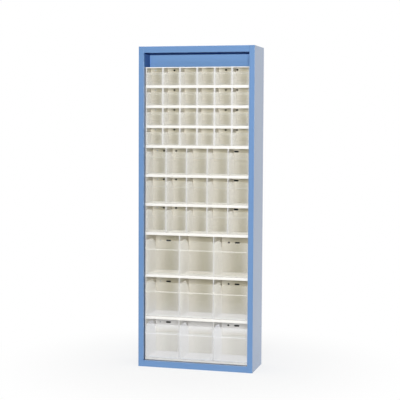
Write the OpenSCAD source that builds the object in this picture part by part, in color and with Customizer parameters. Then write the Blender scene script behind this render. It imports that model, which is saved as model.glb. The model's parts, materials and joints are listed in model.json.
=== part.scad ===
// Parts bin cabinet: an open-fronted steel casing that carries rows of moulded housings, each with a
// row of clear bins that tip forward.
// Frame: origin at the middle of the base, +Z up, the open front faces -Y, millimetres.

/* [Casing] */
// Thickness of the folded steel sheet
sheet = 1.2; // [0.8:0.1:2]
// Thickness of the back panel
back_sheet = 1; // [0.8:0.1:1.6]
// Width of the face flange down each side
side_face = 30; // [22:1:45]
// Height of the face flange along the top
top_face = 35; // [22:1:60]
// Height of the face flange along the bottom
bottom_face = 35; // [22:1:60]
// How far the face flanges return into the casing
return_d = 20; // [10:1:24]
// Width of the flanges that the back panel is welded to
rear_flange = 18; // [10:1:24]
// Setback of the housings' fronts behind the face flanges
front_recess = 28; // [26:1:45]
// Space between the deepest housing and the outside of the back panel
rear_space = 22; // [18:1:40]
// Height of the recessed header above the top row
header_h = 79; // [50:1:140]
// Depth of the header tray, from the end of the return to its back
header_d = 98; // [40:1:150]
// Gap between the housings and the face flanges at each side
side_gap = 2; // [1:0.5:8]
// Gap under the lowest housing
base_gap = 1; // [0.5:0.5:6]
// How far the mounting plates' side flanges are folded back
plate_flange = 15; // [8:1:15]
// Distance from a housing's ends to the window behind its hanging slots
window_inset = 55; // [50:1:58]
// How far a window reaches above the slots' middle
window_above = 8; // [7:0.5:9]
// How far a window reaches below the slots' middle
window_below = 22; // [16:1:30]
// Inset of the back panel from the casing's edges
back_inset = 1; // [0.5:0.5:4]

/* [Housings] */
// Width of every housing
housing_w = 600; // [540:10:660]
// Thickness of the ends, the partitions and the back
housing_wall = 2.5; // [2.2:0.1:3.5]
// Depth of the posts that carry the pivots, from behind the sockets to the partitions
post_rim = 2.5; // [1.5:0.5:6]
// Thickness of the top
housing_top = 2; // [1.6:0.1:3]
// Height of the lip that hangs along the top's front edge
lip_h = 5; // [4:0.5:8]
// Thickness of the lip and of the front apron
lip_t = 2; // [1.6:0.1:3]
// Height of the front apron, flush with the floor's upper side
apron_h = 10.5; // [8:0.5:13]
// Thickness of the floor
floor_t = 2.2; // [1.6:0.1:3]
// Gap between one housing's top and the next one's base
stack_gap = 0.3; // [0.2:0.1:1]
// Height of the hanging slots
slot_h = 10; // [6:1:11]
// Length of the short hanging slots
short_slot_w = 12; // [12:1:16]

/* [Small bins] */
// Rows of small bins
small_rows = 4; // [1:1:4]
// Small bins in a row
small_cols = 6; // [4:1:6]
// Height of a small row
small_h = 112; // [100:1:130]
// Depth of a small housing
small_d = 97; // [88:1:110]
// Opening above a small bin's front
small_top_gap = 28; // [20:1:34]
// Height of a small bin's label band
small_band_h = 16; // [12:1:24]
// How far a small bin's grip stands forward of the housing
small_grip = 6; // [5.5:0.5:12]
// How far a small bin's label band leans back
small_rake = 8; // [4:1:14]
// Width of the posts between small bins
small_post_w = 9; // [4:0.5:12]
// Height from a small housing's hanging slots to the top of its row
small_slot_drop = 14; // [12:1:24]
// Distance from a small housing's left end to its left hanging slot
small_slot_left = 141; // [100:1:180]
// Distance from a small housing's right end to its middle hanging slot
small_slot_middle = 158; // [140:1:200]
// Distance from a small housing's right end to its outer hanging slot
small_slot_outer = 93; // [60:1:115]

/* [Medium bins] */
// Rows of medium bins
medium_rows = 3; // [1:1:3]
// Medium bins in a row
medium_cols = 5; // [3:1:5]
// Height of a medium row
medium_h = 164; // [150:1:180]
// Depth of a medium housing
medium_d = 134; // [120:1:150]
// Opening above a medium bin's front
medium_top_gap = 28; // [20:1:40]
// Height of a medium bin's label band
medium_band_h = 29; // [20:1:40]
// How far a medium bin's grip stands forward of the housing
medium_grip = 11; // [6:1:16]
// How far a medium bin's label band leans back
medium_rake = 15; // [8:1:20]
// Width of the posts between medium bins
medium_post_w = 5.5; // [4:0.5:10]
// Height from a medium housing's hanging slots to the top of its row
medium_slot_drop = 24; // [14:1:34]
// Length of a medium housing's long hanging slot
medium_slot_w = 28; // [12:1:32]
// Distance from a medium housing's left end to its outer short slot
medium_slot_outer = 69; // [65:1:85]
// Distance from a medium housing's left end to its middle short slot
medium_slot_middle = 142; // [110:1:200]
// Distance from a medium housing's right end to its long slot
medium_slot_right = 104; // [75:1:180]

/* [Large bins] */
// Rows of large bins
large_rows = 3; // [1:1:3]
// Large bins in a row
large_cols = 3; // [2:1:3]
// Height of a large row
large_h = 240; // [220:1:260]
// Depth of a large housing
large_d = 200; // [180:1:220]
// Opening above a large bin's front
large_top_gap = 36; // [26:1:50]
// Height of a large bin's label band
large_band_h = 48; // [34:1:60]
// How far a large bin's grip stands forward of the housing
large_grip = 20; // [12:1:24]
// How far a large bin's label band leans back
large_rake = 27; // [16:1:32]
// Width of the posts between large bins
large_post_w = 4.5; // [4:0.5:10]
// Height from a large housing's hanging slots to the top of its row
large_slot_drop = 57; // [30:1:70]
// Length of a large housing's long hanging slots
large_slot_w = 30; // [14:1:34]
// Distance from a large housing's left end to its left long slot
large_slot_left = 79; // [75:1:180]
// Distance from a large housing's right end to its right long slot
large_slot_right = 110; // [75:1:125]
// Distance from a large housing's right end to its short slot
large_slot_middle = 160; // [155:1:200]

/* [Bins] */
// Thickness of the bins' walls
bin_wall = 2; // [1.6:0.1:2.6]
// Gap between a bin's side and the post beside it
bin_gap = 0.8; // [0.5:0.1:1.2]
// Gap between a bin's back and the housing's back
bin_back_gap = 1.6; // [1.2:0.1:4]
// Gap between a bin's swing and the housing's lip
swing_gap = 1; // [0.6:0.1:3]
// Gap between a bin and the apron that it sits on
stop_gap = 0.4; // [0.3:0.1:0.8]
// Angle to which a bin tips forward
open_deg = 45; // [35:1:50]
// Height of the pivots above the row's bottom
pivot_z = 18; // [17:0.5:22]
// Setback of the pivots behind the housing's front
pivot_y = 8; // [7:0.5:10]
// Radius of the pivot pins
pin_r = 2.5; // [2:0.1:3]
// Radial clearance of a pin in its socket
pin_clear = 0.05; // [0.02:0.01:0.1]
// How far a pin reaches into the post
pin_bite = 1; // [0.6:0.1:1.05]
// How far a bin's foot stands forward of the housing
toe_out = 5; // [3:0.5:5]
// Height of the foot's upright face above the pivot
toe_h = 12; // [8:1:20]
// How far the front is drawn in between the foot and the grip
waist_in = 3; // [0:0.5:4]
// Height of the step from the grip down to the front
neck_drop = 6; // [4:0.5:9]
// Width of the ribs that frame a label
rib_w = 2; // [1.5:0.1:3]
// Height of those ribs
rib_h = 0.9; // [0.5:0.1:1.2]
// Inset of the label frame from the bin's sides
label_inset = 6; // [4:1:12]

/* [Screws] */
// Radius of a screw's shank
screw_r = 2; // [1.5:0.1:2.5]
// Radius of a screw's head
screw_head_r = 4; // [3.5:0.1:5]
// Height of a screw's head
screw_head_h = 1.8; // [1.5:0.1:3]
// Width of a screw's crown as a share of its head
screw_crown = 0.7; // [0.5:0.05:0.9]
// How far a screw stands out behind its plate
screw_reach = 6; // [4:1:10]
// Distance from a housing's ends to its screws
screw_inset = 30; // [20:1:40]
// Clearance of a screw in its holes
screw_clear = 0.15; // [0.1:0.05:0.5]

/* [Hidden] */
$fn = 48;
SWING_FN = 96;
EPS = 0.01;
// How far a cut reaches past what it goes through
CUT = 1;
// Straight stretches that the round of a bin's toe is drawn with
TOE_STEPS = 4;

SMALL = 0;
MEDIUM = 1;
LARGE = 2;
SIZES = [SMALL, MEDIUM, LARGE];
SIZE_NAMES = ["small", "medium", "large"];

rows = [small_rows, medium_rows, large_rows];
cols = [small_cols, medium_cols, large_cols];
row_h = [small_h, medium_h, large_h];
housing_d = [small_d, medium_d, large_d];
top_gap = [small_top_gap, medium_top_gap, large_top_gap];
band_h = [small_band_h, medium_band_h, large_band_h];
grip_out = [small_grip, medium_grip, large_grip];
rake = [small_rake, medium_rake, large_rake];
slot_drop = [small_slot_drop, medium_slot_drop, large_slot_drop];
post_w = [small_post_w, medium_post_w, large_post_w];
function from_end(inset) = housing_w / 2 - inset;
// The hanging slots of each size of housing, as [distance from the middle, length]
slots = [
    [
        [-from_end(small_slot_left), short_slot_w],
        [from_end(small_slot_middle), short_slot_w],
        [from_end(small_slot_outer), short_slot_w]
    ],
    [
        [-from_end(medium_slot_outer), short_slot_w],
        [-from_end(medium_slot_middle), short_slot_w],
        [from_end(medium_slot_right), medium_slot_w]
    ],
    [
        [-from_end(large_slot_left), large_slot_w],
        [from_end(large_slot_middle), short_slot_w],
        [from_end(large_slot_right), large_slot_w]
    ]
];
screw_x = from_end(screw_inset);
function fixing_z(size) = row_h[size] - slot_drop[size];

// Casing
opening_w = housing_w + 2 * side_gap;
casing_w = opening_w + 2 * side_face;
casing_d = front_recess + max(housing_d) + rear_space;
front_y = -casing_d / 2;
back_y = casing_d / 2 - back_sheet;
housing_y = front_y + front_recess;
base_z = bottom_face + base_gap;
function stack_h(size) = rows[size] * row_h[size];
function size_z(size) = size == LARGE ? base_z : size_z(size + 1) + stack_h(size + 1);
function row_z(size, row) = size_z(size) + (rows[size] - row) * row_h[size];
function housing_h(size) = row_h[size] - stack_gap;
stack_top = size_z(SMALL) + stack_h(SMALL);
casing_h = stack_top + header_h + top_face;
inner_w = casing_w - 2 * sheet;

// Housings and bins
function cell_w(size) = (housing_w - (cols[size] + 1) * housing_wall) / cols[size];
function cell_x(size, col) = -housing_w / 2 + housing_wall + cell_w(size) / 2
    + (col - 1) * (cell_w(size) + housing_wall);
post_d = pivot_y + pin_r + pin_clear + post_rim;
// Width between the posts at a cell's front
function mouth_w(size) = cell_w(size) - (post_w[size] - housing_wall);
function bin_w(size) = mouth_w(size) - 2 * bin_gap;
toe_r = pivot_z - apron_h - stop_gap;
// Where a bin's underside would meet its sloping foot, without the round between them
toe_y = pivot_y - toe_r * tan(open_deg / 2);
// Radius about the pivot inside which a bin swings under the lip
function swing_r(size) = norm([pivot_y - lip_t, housing_h(size) - lip_h - pivot_z]) - swing_gap;
function bin_back_y(size) = housing_d[size] - housing_wall - bin_back_gap;
function bin_top_z(size) = row_h[size] - top_gap[size];
function grip_z(size) = bin_top_z(size) - band_h[size];

// The round of a bin's toe about the pivot, from its underside to its sloping foot, as [y, z] in its housing
function toe_line() = [
    for (i = [0:TOE_STEPS])
        let (turn = open_deg * i / TOE_STEPS)
            [pivot_y - toe_r * sin(turn), pivot_z - toe_r * cos(turn)]
];
// The outside of a bin's front, from its foot up to its top edge, in the same way
function front_line(size) = [
    [-toe_out, pivot_z + ((pivot_y + toe_out) * sin(open_deg) - toe_r) / cos(open_deg)],
    [-toe_out, pivot_z + toe_h],
    [-toe_out + waist_in, (pivot_z + toe_h + grip_z(size) - neck_drop) / 2],
    [-toe_out, grip_z(size) - neck_drop],
    [-grip_out[size], grip_z(size)],
    [-grip_out[size] + rake[size], bin_top_z(size)]
];
function moved(points, by) = [for (p = points) p + by];

function bin_name(size, row, col) = str(SIZE_NAMES[size], "_bin_r", row, "_c", col);
function housings_name(size) = str(SIZE_NAMES[size], "_housings");

paint = [0.46, 0.63, 0.83];
ivory = [0.95, 0.94, 0.9];
clear = [0.86, 0.9, 0.92, 0.5];
zinc = [0.6, 0.61, 0.62];

// A box from its low corner to its high corner
module block(low, high) {
    translate(low) cube(high - low);
}

// Extrudes an outline drawn as [y, z] along X, about the middle
module across(width) {
    rotate([90, 0, 90]) linear_extrude(height = width, center = true) children();
}

// Right-hand side of the casing, folded from one sheet, its return cut short for the two decks
module side_sheet() {
    outer = casing_w / 2;
    inner = opening_w / 2;
    color(paint) union() {
        block([outer - sheet, front_y, 0], [outer, back_y, casing_h]);
        block([inner, front_y, 0], [outer, front_y + sheet, casing_h]);
        block([inner, front_y, sheet], [inner + sheet, front_y + return_d, casing_h - sheet]);
        block([outer - rear_flange, back_y - sheet, 0], [outer, back_y, casing_h]);
    }
}

module side_panel_right() {
    side_sheet();
}

module side_panel_left() {
    mirror([1, 0, 0]) side_sheet();
}

// Top or bottom of the casing, drawn as the bottom: a deck, a face flange, its return and a rear flange
module deck_sheet(face_h) {
    side = inner_w / 2;
    inner = opening_w / 2;
    rear = casing_w / 2 - rear_flange;
    color(paint) union() {
        block([-side, front_y + sheet, 0], [side, back_y - sheet, sheet]);
        block([-inner, front_y, 0], [inner, front_y + sheet + EPS, face_h]);
        block([-inner, front_y, face_h - sheet], [inner, front_y + return_d, face_h]);
        block([-rear, back_y - sheet - EPS, 0], [rear, back_y, rear_flange]);
    }
}

module bottom_panel() {
    deck_sheet(bottom_face);
}

module top_panel() {
    translate([0, 0, casing_h]) mirror([0, 0, 1]) deck_sheet(top_face);
}

module back_panel() {
    side = casing_w / 2 - back_inset;
    color(paint) block([-side, back_y, back_inset], [side, back_y + back_sheet, casing_h - back_inset]);
}

// Recessed closing piece above the top row: a back with two sides and a top folded forward
module header_tray() {
    inner = opening_w / 2;
    low = stack_top + base_gap;
    high = casing_h - top_face;
    start = front_y + return_d;
    color(paint) union() {
        block([-inner - sheet, start + header_d, low], [inner + sheet, start + header_d + sheet, high]);
        for (side = [0, 1]) mirror([side, 0, 0])
            block([inner, start, low], [inner + sheet, start + header_d + EPS, high]);
        block([-inner - sheet, start, high - EPS], [inner + sheet, start + header_d + sheet, high + sheet]);
    }
}

// A slot with round ends, along X, cut through in Y
module slot_cut(width, height, depth) {
    straight = width - height;
    for (x = [-straight / 2, straight / 2])
        translate([x, 0, 0]) rotate([-90, 0, 0]) cylinder(r = height / 2, h = depth);
    translate([-straight / 2, 0, -height / 2]) cube([straight, depth, height]);
}

// Repeats its children in each row of a size, from the middle of the housing's lower front edge
module each_row(size) {
    for (row = [1:rows[size]])
        translate([0, housing_y, row_z(size, row)]) children();
}

// Cuts the screws' holes through a wall that starts at depth from
module screw_holes(size, from, thick) {
    for (x = [-screw_x, screw_x])
        translate([x, from - CUT, fixing_z(size)]) rotate([-90, 0, 0])
            cylinder(r = screw_r + screw_clear, h = thick + 2 * CUT);
}

// Cuts the hanging slots through a housing's back, which starts at depth from
module slot_holes(size, from) {
    for (slot = slots[size])
        translate([slot[0], from - CUT, fixing_z(size)])
            slot_cut(slot[1], slot_h, housing_wall + 2 * CUT);
}

// Sheet that one size of housing is screwed to, with side flanges welded to the casing and a window
// behind each row's slots
module mounting_plate(size) {
    side = inner_w / 2;
    plate_y = housing_y + housing_d[size];
    low = size_z(size) + EPS;
    high = size_z(size) + stack_h(size) - EPS;
    window = from_end(window_inset);
    difference() {
        union() {
            block([-side, plate_y, low], [side, plate_y + sheet, high]);
            for (end = [0, 1]) mirror([end, 0, 0])
                block([side - sheet, plate_y, low], [side, plate_y + sheet + plate_flange, high]);
        }
        each_row(size) {
            screw_holes(size, housing_d[size], sheet);
            block(
                [-window, housing_d[size] - CUT, fixing_z(size) - window_below],
                [window, housing_d[size] + sheet + CUT, fixing_z(size) + window_above]
            );
        }
    }
}

module mounting_plates() {
    color(paint) for (size = SIZES) mounting_plate(size);
}

// The room for one bin: lower behind the lip, and wider behind the posts
module cell_cut(size) {
    mouth = mouth_w(size) / 2;
    cell = cell_w(size) / 2;
    under_top = housing_h(size) - housing_top;
    block([-mouth, -CUT, apron_h], [mouth, lip_t + EPS, housing_h(size) - lip_h]);
    block([-mouth, lip_t, apron_h], [mouth, post_d + EPS, under_top]);
    block([-cell, post_d, apron_h], [cell, housing_d[size] - housing_wall, under_top]);
}

// One moulded housing: a block opened into cells, hollow under its floor
module housing(size) {
    back = housing_d[size] - housing_wall;
    half = housing_w / 2;
    inner = half - housing_wall;
    difference() {
        block([-half, 0, 0], [half, housing_d[size], housing_h(size)]);
        for (col = [1:cols[size]])
            translate([cell_x(size, col), 0, 0]) cell_cut(size);
        block([-inner, lip_t, -CUT], [inner, back, apron_h - floor_t]);
        translate([0, pivot_y, pivot_z]) rotate([0, 90, 0])
            cylinder(r = pin_r + pin_clear, h = housing_w + 2 * CUT, center = true);
        screw_holes(size, back, housing_wall);
        slot_holes(size, back);
    }
}

module housings(size) {
    color(ivory) each_row(size) housing(size);
}

// Pan-head screws that hold the housings' backs to the mounting plates
module housing_screw(size) {
    seat = housing_d[size] - housing_wall;
    translate([0, seat, 0]) rotate([-90, 0, 0]) {
        cylinder(r = screw_r, h = housing_wall + sheet + screw_reach);
        translate([0, 0, -screw_head_h / 2]) cylinder(r = screw_head_r, h = screw_head_h / 2);
        translate([0, 0, -screw_head_h])
            cylinder(r1 = screw_head_r * screw_crown, r2 = screw_head_r, h = screw_head_h / 2);
    }
}

module housing_screws() {
    color(zinc) for (size = SIZES) each_row(size)
        for (x = [-screw_x, screw_x])
            translate([x, 0, fixing_z(size)]) housing_screw(size);
}

// The raised frame on a bin's label band: a ledge along the grip and an upright at each end
module label_frame(size) {
    length = norm([rake[size], band_h[size]]);
    lean = atan2(rake[size], band_h[size]);
    half = bin_w(size) / 2 - label_inset;
    translate([0, -grip_out[size], grip_z(size)]) rotate([-lean, 0, 0]) {
        block([-half, -rib_h, rib_w], [half, rib_h, 2 * rib_w]);
        for (x = [-half, half - rib_w])
            block([x, -rib_h, rib_w], [x + rib_w, rib_h, length - rib_w]);
    }
}

// A bin in its cell: a clear tray whose sides follow the swing under the lip
module bin_shell(size) {
    back = bin_back_y(size);
    top = bin_top_z(size);
    base = pivot_z - toe_r;
    outline = concat(toe_line(), front_line(size), [[back, top], [back, base]]);
    inside = moved(front_line(size), [bin_wall, 0]);
    inner_y = rake[size] - grip_out[size] + bin_wall;
    half = bin_w(size) / 2;
    difference() {
        intersection() {
            across(bin_w(size)) polygon(outline);
            translate([0, pivot_y, pivot_z]) rotate([0, 90, 0])
                cylinder(r = swing_r(size), h = bin_w(size) + CUT, center = true, $fn = SWING_FN);
        }
        across(bin_w(size) - 2 * bin_wall) polygon(concat(
            inside,
            [[inner_y, top + CUT], [back - bin_wall, top + CUT]],
            [[back - bin_wall, base + bin_wall], [toe_y + bin_wall, base + bin_wall]]
        ));
    }
    label_frame(size);
    for (end = [0, 1]) mirror([end, 0, 0])
        translate([half - bin_wall / 2, pivot_y, pivot_z]) rotate([0, 90, 0])
            cylinder(r = pin_r, h = bin_wall / 2 + bin_gap + pin_bite);
}

module bin(size, row, col) {
    color(clear) translate([cell_x(size, col), housing_y, row_z(size, row)]) union() bin_shell(size);
}

side_panel_left();
side_panel_right();
top_panel();
bottom_panel();
back_panel();
header_tray();
mounting_plates();
housing_screws();
for (s = SIZES)
    housings(s);
for (s = SIZES, r = [1:rows[s]], c = [1:cols[s]])
    bin(s, r, c);
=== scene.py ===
# %% [markdown]
# # A parts bin cabinet
#
# The cabinet is a tall, shallow steel casing without a door. It carries ten moulded housings one above
# another, and each housing holds a row of clear bins that tip forward. The construction comes in as a fixed
# frame, so that every piece made here already has its place. What is added is what the eye looks for:
# folded edges, rounded mouldings, thin clear walls and surfaces that take the light as paint, plastic and
# zinc do.

# %% Load the construction
import json
import math

import bmesh
import bpy
from mathutils import Matrix, Vector


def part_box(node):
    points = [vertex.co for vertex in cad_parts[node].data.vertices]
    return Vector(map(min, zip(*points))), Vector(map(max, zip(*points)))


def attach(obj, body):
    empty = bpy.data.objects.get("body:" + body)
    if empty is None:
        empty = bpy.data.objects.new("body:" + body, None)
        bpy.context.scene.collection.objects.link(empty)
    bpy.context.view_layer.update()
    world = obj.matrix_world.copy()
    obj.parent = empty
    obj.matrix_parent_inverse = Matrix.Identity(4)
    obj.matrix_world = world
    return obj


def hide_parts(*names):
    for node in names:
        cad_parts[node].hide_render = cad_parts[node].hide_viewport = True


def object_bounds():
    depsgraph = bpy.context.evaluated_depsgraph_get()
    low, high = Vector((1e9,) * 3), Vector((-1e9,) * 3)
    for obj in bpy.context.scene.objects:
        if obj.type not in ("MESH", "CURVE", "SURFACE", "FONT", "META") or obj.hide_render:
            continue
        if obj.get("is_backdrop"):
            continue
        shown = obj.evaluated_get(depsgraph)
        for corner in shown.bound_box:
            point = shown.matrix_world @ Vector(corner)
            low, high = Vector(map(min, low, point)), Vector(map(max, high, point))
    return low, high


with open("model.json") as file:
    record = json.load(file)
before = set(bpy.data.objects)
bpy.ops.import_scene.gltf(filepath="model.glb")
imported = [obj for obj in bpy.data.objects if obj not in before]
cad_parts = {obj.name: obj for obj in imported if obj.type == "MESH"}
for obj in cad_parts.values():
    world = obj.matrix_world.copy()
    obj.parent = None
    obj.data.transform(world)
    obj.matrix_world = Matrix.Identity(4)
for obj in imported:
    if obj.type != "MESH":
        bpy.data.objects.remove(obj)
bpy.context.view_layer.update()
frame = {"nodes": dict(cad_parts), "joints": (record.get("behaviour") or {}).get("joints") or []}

nodes = frame["nodes"]

# %% [markdown]
# ## Camera
#
# A tall object is easiest to read from the height of a standing person, a little to one side, with a long
# lens so that its verticals stay nearly parallel. The camera could aim at an empty with a constraint, but a
# position and three angles say plainly where it stands and can be compared with a real tripod. The small
# shift moves the picture on the sensor instead of tilting the camera further.

# %% Camera
MM = 0.001
IMAGE_PX = 400
FOCAL_PX = 1098.6
SENSOR = 36.0
CAMERA_PLACE = Vector((1.599, -6.015, 1.390))
CAMERA_YAW = 0.2608
CAMERA_PITCH = -0.0618
CAMERA_ROLL = 0.0048
SHIFT_PX = -10

forward = Vector((
    -math.sin(CAMERA_YAW) * math.cos(CAMERA_PITCH),
    math.cos(CAMERA_YAW) * math.cos(CAMERA_PITCH),
    math.sin(CAMERA_PITCH),
))
level_right = Vector((math.cos(CAMERA_YAW), math.sin(CAMERA_YAW), 0))
roll = Matrix.Rotation(-CAMERA_ROLL, 3, forward)
right = roll @ level_right
up = right.cross(forward)

camera_data = bpy.data.cameras.new("camera")
camera_data.sensor_width = SENSOR
camera_data.lens = FOCAL_PX / IMAGE_PX * SENSOR
camera_data.shift_y = SHIFT_PX / IMAGE_PX
camera = bpy.data.objects.new("camera", camera_data)
bpy.context.scene.collection.objects.link(camera)
turn = Matrix((right, up, -forward)).transposed()
camera.matrix_world = Matrix.Translation(CAMERA_PLACE) @ turn.to_4x4()
bpy.context.scene.camera = camera
bpy.context.scene.view_settings.view_transform = "Standard"
print("camera", [round(v, 3) for v in CAMERA_PLACE], "lens", round(camera_data.lens, 1), "mm")

# %% [markdown]
# ## Finishes: shared effects
#
# Moulded and painted surfaces are never one flat colour. Two effects turn up on all of them: a slow drift of
# tone over the surface, and a fine relief that breaks up reflections. A third one changes a colour along one
# axis, which paints shade into the depth of hollows and paints light where it would fall. A fourth one tells
# how far a point lies from the middle of its cell or bin, by an attribute that the meshes carry, so that light
# can be painted where it gathers along their sides. Each is a node group, built once and placed in the
# materials with its own values. The alternative, copying the same nodes into every material, would have to be
# mended six times whenever the effect changes. The helpers below add a node and wire it in one line, so that a
# material reads like a recipe.

# %% Node helpers


def linear(red, green, blue):
    """A colour given in 0 to 255 steps, as the linear values that a shader socket wants."""
    steps = [c / 255 for c in (red, green, blue)]
    return [c / 12.92 if c <= 0.04045 else ((c + 0.055) / 1.055) ** 2.4 for c in steps] + [1.0]


def new_group(name, inputs, outputs):
    """An empty shader group with the named sockets. Returns it with what it is given and what it gives."""
    group = bpy.data.node_groups.new(name, "ShaderNodeTree")
    for label, kind, default in inputs:
        socket = group.interface.new_socket(name=label, in_out="INPUT", socket_type=kind)
        if default is not None:
            socket.default_value = default
    for label, kind in outputs:
        group.interface.new_socket(name=label, in_out="OUTPUT", socket_type=kind)
    entry = group.nodes.new("NodeGroupInput")
    leave = group.nodes.new("NodeGroupOutput")
    return group, entry.outputs, leave.inputs


def add_node(tree, kind, inputs, **options):
    """A node with its options set and its inputs fed: a socket is linked, anything else is a constant."""
    node = tree.nodes.new(kind)
    for option, value in options.items():
        setattr(node, option, value)
    for label, value in inputs.items():
        if isinstance(value, bpy.types.NodeSocket):
            tree.links.new(value, node.inputs[label])
        else:
            node.inputs[label].default_value = value
    return node


def calculate(tree, operation, *values):
    """The result of a Math node on one or two values."""
    return add_node(tree, "ShaderNodeMath", dict(enumerate(values)), operation=operation).outputs["Value"]


def map_range(tree, value, start=0.0, end=1.0, low=0.0, high=1.0, ease="LINEAR"):
    """A value that goes from low to high while another one goes from start to end."""
    inputs = {"Value": value, "From Min": start, "From Max": end, "To Min": low, "To Max": high}
    return add_node(tree, "ShaderNodeMapRange", inputs, interpolation_type=ease).outputs["Result"]


def mix_colors(tree, share, first, second, how="MIX"):
    """A colour between two others, or one laid over the other."""
    inputs = {"Factor": share, "A": first, "B": second}
    return add_node(tree, "ShaderNodeMix", inputs, data_type="RGBA", blend_type=how).outputs["Result"]


def own_place(tree):
    """The point of the surface in the object's own coordinates, which are the frame's."""
    return tree.nodes.new("ShaderNodeTexCoord").outputs["Object"]


def attribute(tree, name):
    """The value of an attribute that the mesh carries."""
    return add_node(tree, "ShaderNodeAttribute", {}, attribute_name=name).outputs["Fac"]


def directly_seen(tree):
    """A value that is 1 on camera, mirror and refracted rays, and 0 on the rays that carry the light."""
    rays = tree.nodes.new("ShaderNodeLightPath").outputs
    straight = calculate(tree, "MAXIMUM", rays["Is Camera Ray"], rays["Is Glossy Ray"])
    return calculate(tree, "MAXIMUM", straight, rays["Is Transmission Ray"])


def noise(tree, scale, detail):
    """A cloudy value over the surface."""
    inputs = {"Vector": own_place(tree), "Scale": scale, "Detail": detail}
    return add_node(tree, "ShaderNodeTexNoise", inputs).outputs["Fac"]


# %% Group: tone drift
tone_drift, given, result = new_group(
    "tone_drift",
    [
        ("Light Tone", "NodeSocketColor", None),
        ("Dark Tone", "NodeSocketColor", None),
        ("Scale", "NodeSocketFloat", 4.0),
        ("Low Roughness", "NodeSocketFloat", 0.3),
        ("High Roughness", "NodeSocketFloat", 0.4),
    ],
    [("Color", "NodeSocketColor"), ("Roughness", "NodeSocketFloat")],
)
cloud = noise(tone_drift, given["Scale"], 3.0)
tone = mix_colors(tone_drift, cloud, given["Light Tone"], given["Dark Tone"])
rough = map_range(tone_drift, cloud, low=given["Low Roughness"], high=given["High Roughness"])
tone_drift.links.new(tone, result["Color"])
tone_drift.links.new(rough, result["Roughness"])
print("group", tone_drift.name, len(tone_drift.nodes), "nodes")

# %% Group: axis tone
axis_tone, given, result = new_group(
    "axis_tone",
    [
        ("Color", "NodeSocketColor", None),
        ("Far Color", "NodeSocketColor", None),
        ("Axis", "NodeSocketVector", (0, 1, 0)),
        ("Start", "NodeSocketFloat", 0.0),
        ("End", "NodeSocketFloat", 0.1),
    ],
    [("Color", "NodeSocketColor")],
)
factors = {0: own_place(axis_tone), 1: given["Axis"]}
along = add_node(axis_tone, "ShaderNodeVectorMath", factors, operation="DOT_PRODUCT").outputs["Value"]
share = map_range(axis_tone, along, given["Start"], given["End"], ease="SMOOTHSTEP")
axis_tone.links.new(mix_colors(axis_tone, share, given["Color"], given["Far Color"]), result["Color"])
print("group", axis_tone.name, len(axis_tone.nodes), "nodes")

# %% Group: off the middle
ACROSS = "across"
off_middle, given, result = new_group(
    "off_middle",
    [("Start", "NodeSocketFloat", 0.1), ("End", "NodeSocketFloat", 1.0)],
    [("Share", "NodeSocketFloat")],
)
either_side = calculate(off_middle, "ABSOLUTE", attribute(off_middle, ACROSS))
share = map_range(off_middle, either_side, given["Start"], given["End"], ease="SMOOTHSTEP")
off_middle.links.new(share, result["Share"])
print("group", off_middle.name, len(off_middle.nodes), "nodes")

# %% Group: fine relief
fine_relief, given, result = new_group(
    "fine_relief",
    [("Scale", "NodeSocketFloat", 800.0), ("Waves", "NodeSocketFloat", 12.0)],
    [("Height", "NodeSocketFloat")],
)
grain = noise(fine_relief, given["Scale"], 2.0)
waves = noise(fine_relief, given["Waves"], 1.0)
fine_relief.links.new(calculate(fine_relief, "ADD", grain, waves), result["Height"])
print("group", fine_relief.name, len(fine_relief.nodes), "nodes")


# %% Material helpers


def new_material(name, light, dark, drift_scale, roughness, relief, depth):
    """A Principled material with the two effects that all of them have. Returns it with its shader."""
    material = bpy.data.materials.new(name)
    material.use_nodes = True
    tree = material.node_tree
    shader = tree.nodes["Principled BSDF"]
    tones = {
        "Light Tone": light, "Dark Tone": dark, "Scale": drift_scale,
        "Low Roughness": roughness[0], "High Roughness": roughness[1],
    }
    drift = add_node(tree, "ShaderNodeGroup", tones, node_tree=tone_drift)
    scales = {"Scale": relief[0], "Waves": relief[1]}
    height = add_node(tree, "ShaderNodeGroup", scales, node_tree=fine_relief).outputs["Height"]
    bump = add_node(tree, "ShaderNodeBump", {"Distance": depth, "Height": height})
    tree.links.new(drift.outputs["Color"], shader.inputs["Base Color"])
    tree.links.new(drift.outputs["Roughness"], shader.inputs["Roughness"])
    tree.links.new(bump.outputs["Normal"], shader.inputs["Normal"])
    return material, shader


def recolor(material, change):
    """Puts a function of the colour between a material's colour and its shader."""
    tree = material.node_tree
    base = tree.nodes["Principled BSDF"].inputs["Base Color"]
    tree.links.new(change(tree, base.links[0].from_socket), base)


def along_axis(tree, plain, far_color, axis, start, end):
    """A colour that is plain up to the start of a stretch along an axis, and another one from its end on."""
    inputs = {"Color": plain, "Far Color": far_color, "Axis": axis, "Start": start, "End": end}
    return add_node(tree, "ShaderNodeGroup", inputs, node_tree=axis_tone).outputs["Color"]


def share_off_middle(tree, start, end):
    """A value that rises from 0 to 1 between two distances from the middle of a cell or bin."""
    inputs = {"Start": start, "End": end}
    return add_node(tree, "ShaderNodeGroup", inputs, node_tree=off_middle).outputs["Share"]


# %% [markdown]
# ## Finishes: powder coat
#
# The casing is powder-coated steel. The powder melts into a skin that is glossy but not quite level, which
# is the faint orange peel seen on every such cabinet. A plain glossy blue would look like plastic, so the
# shader has a coat over the colour: seen straight on the blue shows, and seen along the surface the coat
# mirrors the bright room and the blue turns pale.

# %% Powder coat
COAT_DRIFT = 2.5
COAT_RELIEF = (620.0, 9.0)
COAT_DEPTH = 0.03 * MM

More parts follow.
